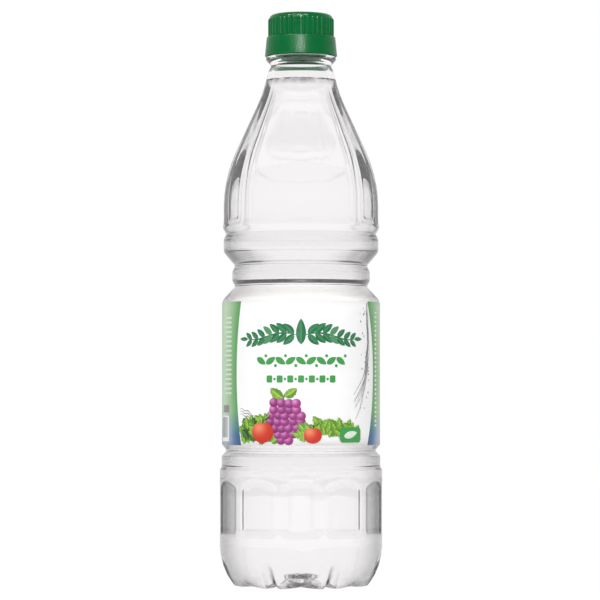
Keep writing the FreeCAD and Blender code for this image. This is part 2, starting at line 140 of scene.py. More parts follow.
def bottle_corners():
    """Corners of the bottle's outside, from the middle of the base up to the rim."""
    return [
        (0.0, 9.4, 0),
        (5.4, 9.4, 4.0),
        (10.6, 2.6, 3.0),
        (24.5, 0.0, 4.5),
        (32.6, 0.0, 3.4),
        (BODY_RADIUS, 10.2, 31.0),
        (BODY_RADIUS, 57.3, 1.0),
        (39.1, 58.7, 1.0),
        (39.1, 64.1, 0.9),
        (36.5, 66.6, 1.5),
        (38.8, 69.3, 0.9),
        (38.8, 140.7, 4.6),
        (32.5, 147.4, 1.3),
        (34.0, 150.3, 2.0),
        (34.0, 154.7, 2.0),
        (32.5, 157.6, 1.3),
        (38.2, 164.3, 4.2),
        (38.2, 170.7, 1.6),
        (36.9, 173.3, 1.4),
        (38.6, 176.2, 1.6),
        (38.6, 200.7, 64.0),
        (18.41, 244.0, 78.0),
        (16.35, 253.2, 2.5),
        (14.75, 256.5, 1.1),
        (17.3, 259.3, 0.5),
        (17.3, 261.0, 0.35),
        (13.6, 261.0, 0.3),
        (13.6, RIM, 0),
    ]


def smooth(value):
    """Ease from 0 to 1 while the value goes from 0 to 1."""
    value = np.clip(value, 0, 1)
    return value * value * (3 - 2 * value)


def off_centre(bearing, count, start):
    """Angle to the nearest of some features spread evenly round the axis."""
    pitch = 360 / count
    return (bearing - start + pitch / 2) % pitch - pitch / 2


def flute_press(radius, height, bearing, grow):
    """How deep the shoulder's flutes are pressed in; they fade out towards the neck."""
    edge_share, foot_bow, foot_slope = 0.3, 1.2, 3.6
    aside = off_centre(bearing, FLUTES, 0)
    side = np.radians(FLUTE_HALF - np.abs(aside)) * radius + grow
    edge = edge_share * np.radians(FLUTE_HALF) * radius
    foot = height - (FLUTE_FOOT + foot_bow * (aside / FLUTE_HALF) ** 2) + grow
    fade = smooth((NECK_FOOT - height) / FLUTE_FADE)
    return FLUTE_DEPTH * fade * smooth(side / edge) * smooth(foot / foot_slope)


def inside_panel(radius, height, bearing, grow):
    """How far inside the edge of a grip panel a place is, or outside it where below 0."""
    aside = off_centre(bearing, PANELS, 0)
    across = np.radians(np.abs(aside)) * radius
    side = np.radians(PANEL_HALF) * radius - across + grow
    arch_foot = PANEL_TOP - PANEL_ARCH
    arch = PANEL_ARCH - np.hypot(across, height - arch_foot) + grow
    head = np.where(height < arch_foot, side, arch)
    foot = height - PANEL_FOOT + grow
    beside, below = PANEL_CORNER - side, PANEL_CORNER - foot
    corner = PANEL_CORNER - np.hypot(np.maximum(beside, 0), np.maximum(below, 0))
    foot = np.where((beside > 0) & (below > 0), corner, foot)
    return np.minimum(np.minimum(side, head), foot)


def panel_press(radius, height, bearing, grow):
    """How deep the grip panels are pressed in."""
    return PANEL_DEPTH * smooth(inside_panel(radius, height, bearing, grow) / PANEL_SLOPE)


def valley_press(radius, height, bearing, grow):
    """How deep the valleys between the feet, and the middle of each foot, are pressed in."""
    aside = off_centre(bearing, FEET, 180)
    across = np.radians(np.abs(aside)) * radius
    outward = radius - VALLEY_START
    under = np.clip(VALLEY_DEPTH - height, 0, VALLEY_DEPTH) * smooth(outward / 5.0)
    flank = np.interp(height, [0.0, 2.0, 6.0, 10.0, VALLEY_TOP], [VALLEY_DEPTH, 1.9, 1.6, 1.05, 0.0])
    beneath = radius < FOOT_EDGE
    deep = np.where(beneath, under, flank)
    wide = np.where(beneath, 1.6 + 1.8 * smooth(outward / 12.0), VALLEY_HALF) + grow
    valley = deep * np.clip(1 - (across / wide) ** 2, 0, 1)
    middle = (np.abs(aside) * FEET / 180) ** 2
    drawn = FOOT_DRAW * middle * smooth((6.0 - height) / 6.0) * smooth((radius - 20.0) / 5.0)
    return valley + drawn


def gate_press(radius, bearing):
    """Uneven, unstretched plastic of the pushed-up middle of the base."""
    turn = np.radians(bearing)
    folds = 0.5 * np.sin(5 * turn + 1.0 + 0.8 * radius) + 0.3 * np.sin(9 * turn + radius)
    waves = np.sin(radius * 2.6 + np.sin(3 * turn)) + 0.7 * np.sin(radius * 1.1 + 4 * turn)
    share = smooth((radius - 0.8) / 1.5) * smooth((GATE_RADIUS - radius) / 3.0)
    return GATE_DEPTH * share * (folds + waves)


def form(path, turns, offset, grow):
    """Radius and height of a grid of points on the bottle's form, by path and by bearing.

    The offset draws the whole form in along its normals, and grow widens what is
    pressed into it, as it is wider on the inside of the wall.
    """
    along = np.gradient(path, axis=0)
    along /= np.linalg.norm(along, axis=1)[:, None]
    normal = np.stack([along[:, 1], -along[:, 0]], axis=1)
    radius, height, bearing = path[:, :1], path[:, 1:], bearings(turns)[None, :]
    press = flute_press(radius, height, bearing, grow) + panel_press(radius, height, bearing, grow)
    press = press + valley_press(radius, height, bearing, grow) + gate_press(radius, bearing)
    inward = press + offset
    return radius - normal[:, :1] * inward, height - normal[:, 1:] * inward


def refined(path, zones):
    """Divide the runs of a path more finely inside some zones of height."""
    result = [path[0]]
    for start, end in zip(path, path[1:]):
        pieces = 1
        for low, high, step in zones:
            if min(start[1], end[1]) < high and max(start[1], end[1]) > low:
                pieces = max(pieces, int(math.ceil(np.linalg.norm(end - start) / step)))
        for part in range(1, pieces + 1):
            result.append(start + (end - start) * part / pieces)
    return np.array(result)


def cut_at(path, height):
    """The part of a rising path below a height, ending exactly there."""
    below = [point for point in path if point[1] < height]
    after = path[len(below)]
    share = (height - below[-1][1]) / (after[1] - below[-1][1])
    return np.array(below + [below[-1] + (after - below[-1]) * share])


def bearings(count):
    """Evenly spread bearings, the first of them at the front."""
    return np.arange(count) * 360 / count


# ---------------------------------------------------------------- meshes

def make_mesh(name, points, faces, smooth_faces=True):
    """Mesh from points in millimetres."""
    mesh = bpy.data.meshes.new(name)
    mesh.from_pydata([tuple(point) for point in np.asarray(points) * MM], [], faces)
    mesh.polygons.foreach_set("use_smooth", [smooth_faces] * len(mesh.polygons))
    mesh.update()
    return mesh


def add_piece(name, mesh, material, node=None):
    """Put a mesh in the scene as a piece that rides on the bottle."""
    piece = bpy.data.objects.new(name, mesh)
    bpy.context.scene.collection.objects.link(piece)
    piece.data.materials.append(material)
    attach(piece, "root")
    if node:
        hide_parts(node)
    return piece


def bridge(low, high):
    """Faces between two rings of vertex numbers.

    Either ring may be a single point, and the later one may be half as fine.
    """
    if len(low) == 1:
        return [(low[0], after, now) for now, after in zip(high, high[1:] + high[:1])]
    if len(high) == 1:
        return [(now, after, high[0]) for now, after in zip(low, low[1:] + low[:1])]
    if len(low) == len(high):
        pairs = zip(low, low[1:] + low[:1], high[1:] + high[:1], high)
        return [tuple(pair) for pair in pairs]
    faces = []
    for index, (near, far) in enumerate(zip(high, high[1:] + high[:1])):
        start, middle, end = (low[(2 * index + step) % len(low)] for step in range(3))
        faces += [(start, middle, near), (middle, far, near), (middle, end, far)]
    return faces


def is_point(radius):
    """Whether a ring has no radius."""
    return np.max(radius) < 1e-6


def lathe(name, rings, marks=None):
    """Mesh through rings of points; a ring with no radius becomes one point.

    Each ring is a (radius, height) pair of arrays over the bearings. The marks
    are a value for every point, kept in the mesh under the name "mark".
    """
    points, faces, before = [], [], None
    for radius, height in rings:
        if is_point(radius):
            places = [(0.0, 0.0, float(height[0]))]
        else:
            turn = np.radians(bearings(len(radius)))
            places = zip(radius * np.sin(turn), -radius * np.cos(turn), height)
        first = len(points)
        points += places
        ring = list(range(first, len(points)))
        if before:
            faces += bridge(before, ring)
        before = ring
    mesh = make_mesh(name, points, faces)
    if marks is not None:
        values = [mark[:1] if is_point(ring[0]) else mark for ring, mark in zip(rings, marks)]
        kept = mesh.attributes.new("mark", "FLOAT", "POINT")
        kept.data.foreach_set("value", np.concatenate(values))
    return mesh


def rings_of(radius, height):
    """List of rings from grids of radius and height."""
    return list(zip(radius, np.broadcast_to(height, radius.shape)))


# ---------------------------------------------------------------- the bottle and its contents

FINE_TURNS = 352
COARSE_TURNS = 176

# Heights between which a path is divided more finely, and how finely.
FINE_ZONES = (
    (0.5, 9.5, 1.4),                                # pushed-up middle of the base
    (9.5, 14.5, 2.4),                               # upper ends of the valleys
    (PANEL_FOOT - 0.6, PANEL_FOOT + 3.0, 0.7),
    (PANEL_TOP - 3.4, PANEL_TOP + 0.4, 0.7),
    (FLUTE_FOOT, FLUTE_FOOT + 3.8, 0.7),
)
INSIDE_ZONES = (
    (0.5, 14.5, 2.6),
    (PANEL_FOOT - 0.6, PANEL_FOOT + 2.6, 1.1),
    (PANEL_TOP - 3.6, PANEL_TOP + 0.6, 1.1),
    (FLUTE_FOOT, FLUTE_FOOT + 3.4, 1.1),
)

MENISCUS_CLIMB = 1.1    # how far the vinegar climbs the wall
MENISCUS_REACH = 1.5    # how far from the wall most of that is gone
SURFACE_DEPTHS = (0.25, 0.5, 0.8, 1.1, 1.5, 2.0, 2.6, 3.3, 4.2, 5.5, 7.5, 10.0, 13.0)


def inside_corners():
    """Corners of the same form with a plain neck, which the wall is measured from."""
    body = [corner for corner in bottle_corners() if corner[1] < NECK_FOOT]
    mouth = BORE + WALL
    return body + [(16.3, 253.3, 3.0), (mouth, 258.2, 3.0), (mouth, RIM, 0)]


def shell_painted_shade(path):
    """1 in the grip panels, the valleys and the slope over the waist, which get a darker painted shade.
    """
    radius, height = path[:, :1], path[:, 1:]
    where = radius, height, bearings(FINE_TURNS)[None, :], 0.0
    panels = smooth(inside_panel(*where) / 1.5)
    valleys = smooth(valley_press(*where) / 0.8)
    slope = smooth(height - WAIST_SLOPE[0]) * smooth(WAIST_SLOPE[1] - height)
    return np.maximum(np.maximum(panels, valleys), slope)


def shell_mesh():
    """Closed mesh of the clear wall: up the outside, over the rim and down the inside."""
    outside = refined(rounded(bottle_corners(), step=6.0, turn=16.0), FINE_ZONES)
    inside = refined(rounded(inside_corners(), step=6.0, turn=20.0), INSIDE_ZONES)
    outer = form(outside, FINE_TURNS, 0.0, 0.0)
    inner = form(inside, COARSE_TURNS, WALL, WALL / 2)
    marks = list(shell_painted_shade(outside)) + [np.zeros(COARSE_TURNS)] * len(inside)
    return lathe("shell", rings_of(*outer) + rings_of(*inner)[::-1], marks)


def vinegar_mesh():
    """Contents, out to the middle of the wall, with a wavering rim that climbs it.

    Its rim gets a painted shade line, uneven in patches.
    """
    path = refined(rounded(inside_corners(), step=4.0, turn=12.0), INSIDE_ZONES)
    sides = form(cut_at(path, VINEGAR_TOP + MENISCUS_CLIMB), COARSE_TURNS, WALL / 2, WALL / 4)
    edge = sides[0][-1]
    rings = rings_of(*sides)
    turn = np.radians(bearings(COARSE_TURNS))
    waver = 0.14 * np.sin(5 * turn + 0.6) + 0.1 * np.sin(11 * turn + 2.0) + 0.08 * np.sin(17 * turn)
    for depth in SURFACE_DEPTHS:
        fall = math.exp(-depth / MENISCUS_REACH)
        height = VINEGAR_TOP + MENISCUS_CLIMB * fall + waver * 4 * fall * (1 - fall)
        rings.append((edge - depth, height))
    rings.append((edge * 0, np.full(COARSE_TURNS, VINEGAR_TOP)))
    # Where the rim gets its painted shade line, uneven in patches.
    painted_shade_blobs = 0.65 + 0.35 * np.clip(np.sin(6 * turn + 0.9) + 0.6 * np.sin(23 * turn), -1, 1)
    marks = [painted_shade_blobs * smooth((height - VINEGAR_TOP + 0.3) / 0.4) for _, height in rings]
    return lathe("contents", rings, marks)


# ---------------------------------------------------------------- the cap

CAP_BORE = 13.95
CAP_PLATE = 1.5         # thickness of its top
DISH_DEPTH = 0.25       # how far the top is sunk inside its rim
CROWN_ROUND = 2.6
LEDGE = 270.9           # top of the smooth band
RIBS = 40
RIB_BASE = 15.85        # radius between the ribs
RIB_RISE = 0.45
RIB_HALF_WIDTH = 0.78
RIB_END = CAP_TOP - CROWN_ROUND + 0.4
RIB_END_ROUND = 0.9
CAP_TURNS = 640


def cap_path():
    """Section of the cap: from under its top, down inside, round the band's foot and up."""
    lip = CAP_FOOT + 0.15
    recess = CAP_FOOT + 0.9
    corners = [
        (0.0, CAP_TOP - CAP_PLATE, 0),
        (CAP_BORE, CAP_TOP - CAP_PLATE, 0.3),
        (CAP_BORE, 269.2, 0.3),
        (15.7, 268.2, 0.3),
        (16.1, 262.6, 0.3),
        (16.5, lip, 0.15),
        (16.95, lip, 0.15),
        (17.05, recess, 0.1),
        (17.25, recess, 0.1),
        (17.35, CAP_FOOT, 0.15),
        (BAND_RADIUS, CAP_FOOT, 0.28),
        (16.95, LEDGE, 0.8),
        (RIB_BASE, LEDGE, 0.12),
        (RIB_BASE, CAP_TOP, CROWN_ROUND),
        (11.6, CAP_TOP, 0.5),
        (11.2, CAP_TOP - DISH_DEPTH, 0.3),
        (0.0, CAP_TOP - DISH_DEPTH, 0),
    ]
    zones = ((LEDGE - 0.2, LEDGE + 0.8, 0.3), (RIB_END - 1.2, RIB_END + 1.0, 0.2))
    path = rounded(corners, step=2.5, turn=14.0)
    foot = int(np.argmax(path[:, 0]))
    return np.vstack([path[:foot], refined(path[foot:], zones)])


def cap_mesh():
    """The cap with ribs round its crown, which stop in rounded ends under the top edge."""
    path = cap_path()
    radius, height = path[:, :1], path[:, 1:]
    aside = off_centre(bearings(CAP_TURNS)[None, :], RIBS, 180 / RIBS)
    across = np.abs(np.radians(aside)) * RIB_BASE
    crest = np.clip(1 - (across / RIB_HALF_WIDTH) ** 2, 0, 1)
    crest = crest * crest * (1.6 - 0.6 * crest)
    end = np.clip((RIB_END - height) / RIB_END_ROUND, 0, 1)
    rise = RIB_RISE * crest * np.sqrt(end * (2 - end))
    outside = (radius > CAP_BORE + 0.5) & (height > LEDGE + 0.05)
    radius = np.where(outside, radius + rise, radius)
    return lathe("cap", rings_of(radius, height))


# ---------------------------------------------------------------- label film

LABEL_TURNS = 360
LABEL_LEVELS = 15
FILM_INSIDE = LABEL_RADIUS - 0.08
FILM_FACE = LABEL_RADIUS + 0.02
LAP = 178.0, 186.0      # bearings between which the film is doubled
LAP_SLOPE = 0.6
LAP_RISE = 0.1


def label_mesh():
    """Thin tube round the seat, with the step of its glued overlap; its inside is marked."""
    turn = bearings(LABEL_TURNS)
    lap = smooth((turn - LAP[0]) / LAP_SLOPE) * smooth((LAP[1] - turn) / LAP_SLOPE)
    waver = 0.03 * np.sin(np.radians(turn) * 7) + 0.02 * np.sin(np.radians(turn) * 19 + 1)
    levels = np.linspace(LABEL_FOOT, LABEL_TOP, LABEL_LEVELS)
    inner = [(np.full(LABEL_TURNS, FILM_INSIDE), level + waver) for level in levels[::-1]]
    outer = [(FILM_FACE + LAP_RISE * lap, level + waver) for level in levels]
    marks = [np.ones(LABEL_TURNS)] * len(inner) + [np.zeros(LABEL_TURNS)] * (len(outer) + 1)
    return lathe("label_film", inner + outer + inner[:1], marks)


# ---------------------------------------------------------------- materials

def srgb(red, green, blue):
    """Linear colour from 8-bit display values."""
    values = np.array([red, green, blue]) / 255
    return (*np.where(values <= 0.04045, values / 12.92, ((values + 0.055) / 1.055) ** 2.4), 1.0)


def grey(value):
    """Neutral linear colour."""
    return (value, value, value, 1.0)


def add_node(tree, kind, inputs=None, **settings):
    """Add a node, with links or plain values on its inputs."""
    made = tree.nodes.new("ShaderNode" + kind)
    for key, value in settings.items():
        setattr(made, key, value)
    for key, value in (inputs or {}).items():
        if isinstance(value, bpy.types.NodeSocket):
            tree.links.new(value, made.inputs[key])
        else:
            made.inputs[key].default_value = value
    return made


def math_node(tree, operation, *values):
    """Output of a math node."""
    return add_node(tree, "Math", dict(enumerate(values)), operation=operation).outputs[0]


def ramp(tree, factor, stops):
    """Colour ramp through (position, colour) stops."""
    made = add_node(tree, "ValToRGB", {"Fac": factor})
    elements = made.color_ramp.elements
    while len(elements) < len(stops):
        elements.new(1.0)
    for element, (position, colour) in zip(elements, stops):
        element.position = position
        element.color = colour
    return made.outputs["Color"]


def mix(tree, factor, first, second, kind="MIX"):
    """Mix of two colours."""
    made = add_node(tree, "Mix", {"Factor": factor}, data_type="RGBA", blend_type=kind)
    for key, value in ((6, first), (7, second)):
        if isinstance(value, bpy.types.NodeSocket):
            tree.links.new(value, made.inputs[key])
        else:
            made.inputs[key].default_value = value
    return made.outputs[2]


def square(tree, value):
    """A value times itself."""
    return math_node(tree, "MULTIPLY", value, value)


def between(tree, value, start, end):
    """0 to 1 while a value goes from start to end."""
    return add_node(tree, "MapRange", {"Value": value, "From Min": start, "From Max": end}).outputs[0]


def noise(tree, scale, detail=2.0, where=None):
    """Noise over the object's own metres."""
    if where is None:
        where = add_node(tree, "TexCoord").outputs["Object"]
    made = add_node(tree, "TexNoise", {"Vector": where, "Scale": scale, "Detail": detail})
    return made.outputs["Fac"]


def bump(tree, height, distance):
    """Bump from a height, as deep as distance in metres."""
    return add_node(tree, "Bump", {"Height": height, "Distance": distance}).outputs["Normal"]


def rays(tree, *kinds):
    """1 for the named kinds of ray, and 0 for others."""
    path = add_node(tree, "LightPath").outputs
    total = path[kinds[0]]
    for kind in kinds[1:]:
        total = math_node(tree, "MAXIMUM", total, path[kind])
    return total


def new_material(name, **values):
    """Material with a Principled shader whose plain values are set by name."""
    material = bpy.data.materials.new(name)
    material.use_nodes = True
    shader = material.node_tree.nodes["Principled BSDF"]
    for key, value in values.items():
        shader.inputs[key.replace("_", " ")].default_value = value
    return material, material.node_tree, shader


# Painted shade: shares of light let through, by how steeply a surface is seen, from 0 to 1,
# which darken the clear stuff towards its edges. The panel's are for the marked parts of the
# plastic, and the line's for the marked rim of the vinegar.
PLASTIC_PAINTED_SHADE = (
    (0.0, 0.972), (0.2, 0.965), (0.32, 0.90), (0.37, 0.84), (0.47, 0.72),
    (0.54, 0.64), (0.62, 0.55), (0.8, 0.52), (1.0, 0.47),
)
# Painted shade, much darker, for the grip panels, the valleys and the slope over the waist.
PANEL_PAINTED_SHADE = (
    (0.0, 0.965), (0.25, 0.93), (0.36, 0.72), (0.42, 0.56), (0.5, 0.5), (0.57, 0.38),
    (0.65, 0.2), (0.75, 0.08), (1.0, 0.05),
)
SHOULDER_PAINTED_SHADE = ((0.0, 0.99), (0.22, 0.983), (0.4, 0.94), (0.55, 0.87), (0.7, 0.84), (1.0, 0.8))
NECK_PAINTED_SHADE = ((0.0, 0.998), (0.4, 0.995), (0.7, 0.97), (1.0, 0.93))
VINEGAR_PAINTED_SHADE = ((0.0, 0.998), (0.5, 0.985), (1.0, 0.95))
# Painted shade line along the marked rim of the vinegar.
LINE_PAINTED_SHADE = ((0.0, 0.5), (0.5, 0.42), (1.0, 0.35))
SHOULDER_START = 0.172, 0.184   # heights over which the shoulder's shares take over
NECK_START = 0.021, 0.017       # distances from the axis over which the neck's take over


def painted_edge_shade(tree, facing, shade_stops):
    """Colour with painted shade: it lets through some shares of light, by (facing, share) stops.

    The shader takes the root of its colour at each surface, so it is given the square.
    """
    stops = []
    for place, share in shade_stops:
        stops.append((place, (share ** 2 * 1.004, share ** 2 * 0.996, share ** 2, 1.0)))
    return ramp(tree, facing, stops)


def clear_material(name, ior, shade_stops, marked_shade_stops, shoulder_shade_stops, waves):
    """Clear stuff with painted shade: it lets less light through where its surface is seen more steeply.

    The shoulder, the neck and the marked places have painted shade of their own. Light on
    its way from or to a dull surface goes straight through.
    """
    material, tree, shader = new_material(name, IOR=ior, Roughness=0.0, Transmission_Weight=1.0)
    facing = add_node(tree, "LayerWeight", {"Blend": 0.5}).outputs["Facing"]
    mark = add_node(tree, "Attribute", attribute_name="mark").outputs["Fac"]
    place = add_node(tree, "SeparateXYZ", {0: add_node(tree, "TexCoord").outputs["Object"]}).outputs
    squares = math_node(tree, "MULTIPLY_ADD", place["X"], place["X"], square(tree, place["Y"]))
    on_shoulder = between(tree, place["Z"], *SHOULDER_START)
    in_neck = between(tree, math_node(tree, "SQRT", squares), *NECK_START)
    # Painted shade: the colour darkens where the surface is seen edge-on.
    colour = painted_edge_shade(tree, facing, shade_stops)
    colour = mix(tree, on_shoulder, colour, painted_edge_shade(tree, facing, shoulder_shade_stops))
    colour = mix(tree, in_neck, colour, painted_edge_shade(tree, facing, NECK_PAINTED_SHADE))
    colour = mix(tree, mark, colour, painted_edge_shade(tree, facing, marked_shade_stops))
    tree.links.new(colour, shader.inputs["Base Color"])
    tree.links.new(bump(tree, noise(tree, 55.0, 1.0), waves), shader.inputs["Normal"])
    straight = add_node(tree, "BsdfTransparent", {"Color": grey(0.97)}).outputs[0]
    dull = rays(tree, "Is Diffuse Ray", "Is Shadow Ray")
    both = add_node(tree, "MixShader", {0: dull, 1: shader.outputs[0], 2: straight}).outputs[0]
    tree.links.new(both, tree.nodes["Material Output"].inputs["Surface"])
    return material


def cap_material():
    """Moulded green polypropylene: satin, with faint flow marks and a grainy band."""
    material, tree, shader = new_material(
        "green_plastic", Roughness=0.25, IOR=1.5, Specular_IOR_Level=0.22,
        Subsurface_Weight=0.08, Subsurface_Radius=(0.001, 0.002, 0.001),
    )
    where = add_node(tree, "TexCoord").outputs["Object"]
    flow = noise(tree, 90.0, 3.0, where)
    stops = [(0.3, srgb(0, 99, 47)), (0.7, srgb(0, 108, 53))]
    tree.links.new(ramp(tree, flow, stops), shader.inputs["Base Color"])
    height = add_node(tree, "SeparateXYZ", {0: where}).outputs["Z"]
    on_band = math_node(tree, "LESS_THAN", height, LEDGE * MM)
    grain = noise(tree, 1300.0, 3.0, where)
    smoothest = math_node(tree, "MULTIPLY_ADD", on_band, 0.08, 0.17)
    rough = math_node(tree, "MULTIPLY_ADD", grain, 0.08, smoothest)
    tree.links.new(rough, shader.inputs["Roughness"])
    depth = math_node(tree, "MULTIPLY_ADD", on_band, 1.9, 0.1)
    relief = math_node(tree, "MULTIPLY", grain, depth)
    tree.links.new(bump(tree, relief, 0.00006), shader.inputs["Normal"])
    return material


def film_relief(tree):
    """Slight unevenness of the label's film."""
    return bump(tree, noise(tree, 160.0, 3.0), 0.00006)


def ink_material():
    """Printing ink, whose colours are kept in the mesh, with the tooth of the film."""
    material, tree, shader = new_material("ink", Roughness=0.4, IOR=1.5)
    colour = add_node(tree, "Attribute", attribute_name="ink").outputs["Color"]
    speckle = ramp(tree, noise(tree, 1500.0, 2.0), [(0.3, grey(0.93)), (0.7, grey(1.0))])
    tree.links.new(mix(tree, 1.0, colour, speckle, "MULTIPLY"), shader.inputs["Base Color"])
    tree.links.new(film_relief(tree), shader.inputs["Normal"])
    return material


LEFT_EDGE, LEFT_BOW = -53.5, 5.3        # bearings of the white field's edges at mid height,
RIGHT_EDGE, RIGHT_BOW = 64.3, -8.5      # and what is added to them at its top and foot
SIDE_SPAN = 110.0                       # angle past an edge that the side's colours take
BLUE_START, BLUE_FULL = -0.52, -0.88    # levels, from 1 at the label's top to -1 at its foot
FILM_BACK = srgb(246, 247, 244)
# Strength of the painted glow on the film's inside.
BACK_PAINTED_GLOW = 0.5
# Side colours past an edge: print, with a paler band around 0.2 that is partly painted sheen.
GREEN_PRINT_AND_SHEEN = (
    (0.0, srgb(82, 156, 80)), (0.035, srgb(112, 172, 110)), (0.07, srgb(142, 187, 136)),
    (0.12, srgb(170, 204, 164)), (0.2, srgb(196, 222, 190)), (0.34, srgb(166, 202, 160)),
    (1.0, srgb(90, 160, 92)),
)
BLUE_PRINT_AND_SHEEN = (
    (0.0, srgb(38, 86, 134)), (0.043, srgb(60, 106, 154)), (0.077, srgb(94, 129, 173)),
    (0.12, srgb(150, 172, 194)), (0.2, srgb(186, 198, 208)), (0.34, srgb(150, 172, 194)),
    (1.0, srgb(56, 104, 150)),
)


def label_material():
    """Printed film: a white field between bowed edges, green sides and a blue foot. The sides pale some
    way past the edges, partly print and partly painted sheen.

    Its inside is pale, with a painted glow that stands in for the light that comes through the film.
    """
    plain = {"Roughness": 0.42, "IOR": 1.5, "Emission_Color": FILM_BACK}
    material, tree, shader = new_material("printed_film", **plain)
    place = add_node(tree, "SeparateXYZ", {0: add_node(tree, "TexCoord").outputs["Object"]}).outputs
    forward = math_node(tree, "MULTIPLY", place["Y"], -1.0)
    bearing = math_node(tree, "DEGREES", math_node(tree, "ARCTAN2", place["X"], forward))
    middle, half = (LABEL_FOOT + LABEL_TOP) / 2 * MM, (LABEL_TOP - LABEL_FOOT) / 2 * MM
    level = math_node(tree, "DIVIDE", math_node(tree, "SUBTRACT", place["Z"], middle), half)
    bow = square(tree, level)
    left = math_node(tree, "MULTIPLY_ADD", bow, LEFT_BOW, LEFT_EDGE)
    right = math_node(tree, "MULTIPLY_ADD", bow, RIGHT_BOW, RIGHT_EDGE)
    past_left = math_node(tree, "SUBTRACT", left, bearing)
    past_right = math_node(tree, "SUBTRACT", bearing, right)
    past = math_node(tree, "MAXIMUM", past_left, past_right)
    out = math_node(tree, "DIVIDE", past, SIDE_SPAN)
    blue = between(tree, level, BLUE_START, BLUE_FULL)
    # Side colours: print, with a partly painted sheen where the sides turn away.
    side = mix(tree, blue, ramp(tree, out, GREEN_PRINT_AND_SHEEN), ramp(tree, out, BLUE_PRINT_AND_SHEEN))
    paper = ramp(tree, noise(tree, 40.0), [(0.3, srgb(250, 250, 250)), (0.7, srgb(254, 254, 254))])
    on_side = math_node(tree, "GREATER_THAN", past, 0.0)
    inside = add_node(tree, "Attribute", attribute_name="mark").outputs["Fac"]
    face = mix(tree, inside, mix(tree, on_side, paper, side), FILM_BACK)
    tree.links.new(face, shader.inputs["Base Color"])
    # Painted glow on the film's inside, for light that comes through the film.
    tree.links.new(math_node(tree, "MULTIPLY", inside, BACK_PAINTED_GLOW), shader.inputs["Emission Strength"])
    tree.links.new(film_relief(tree), shader.inputs["Normal"])
    return material


# ---------------------------------------------------------------- print on the label

def blend(dark, light, share):
    """Grid of colours between a dark and a light one."""
    share = share[..., None]
    return np.array(dark) * (1 - share) + np.array(light) * share


